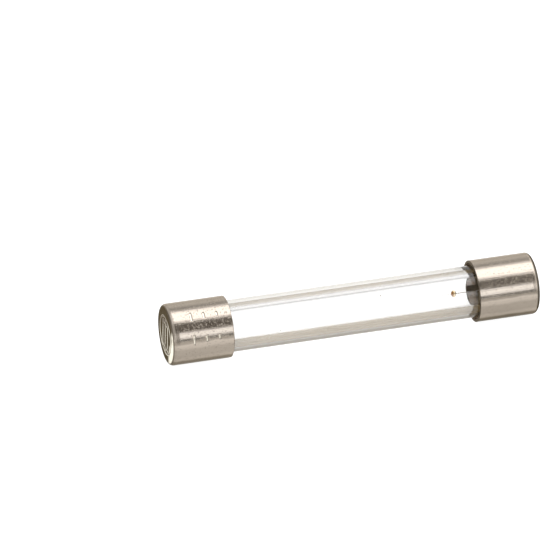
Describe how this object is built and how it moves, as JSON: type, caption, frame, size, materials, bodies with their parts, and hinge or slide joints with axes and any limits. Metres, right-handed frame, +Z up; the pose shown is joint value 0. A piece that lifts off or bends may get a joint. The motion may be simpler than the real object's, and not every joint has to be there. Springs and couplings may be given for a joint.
{
  "type": "cartridge fuse",
  "caption": "Miniature glass cartridge fuse: clear tube with nickel-plated end caps and a fine axial fuse wire soldered between them.",
  "frame": {"origin": "centre of the fuse, on its axis, halfway between the two end faces", "axes": "+X along the fuse axis from the marked left cap to the plain right cap, +Z up"},
  "size_m": [0.0306, 0.005, 0.005],
  "materials": {
    "glass": "clear drawn soda-lime glass, ends melted round",
    "nickel_plate": "drawn brass with bright, slightly warm nickel plate, fine draw lines and handling scratches",
    "cement": "matt mineral cap cement",
    "solder": "satin tin solder, set in a shallow dome",
    "element_wire": "fine bright drawn wire",
    "lead_wire": "tinned drawn wire",
    "bead": "copper-gold bead of melted metal"
  },
  "bodies": {
    "root": {"glass_tube": "glass", "left_cap": "nickel_plate", "right_cap": "nickel_plate", "left_cement": "cement", "right_cement": "cement", "left_solder": "solder", "right_solder": "solder", "fuse_wire": "element_wire", "lead_wire": "lead_wire", "joint_bead": "bead"}
  },
  "joints": []
}
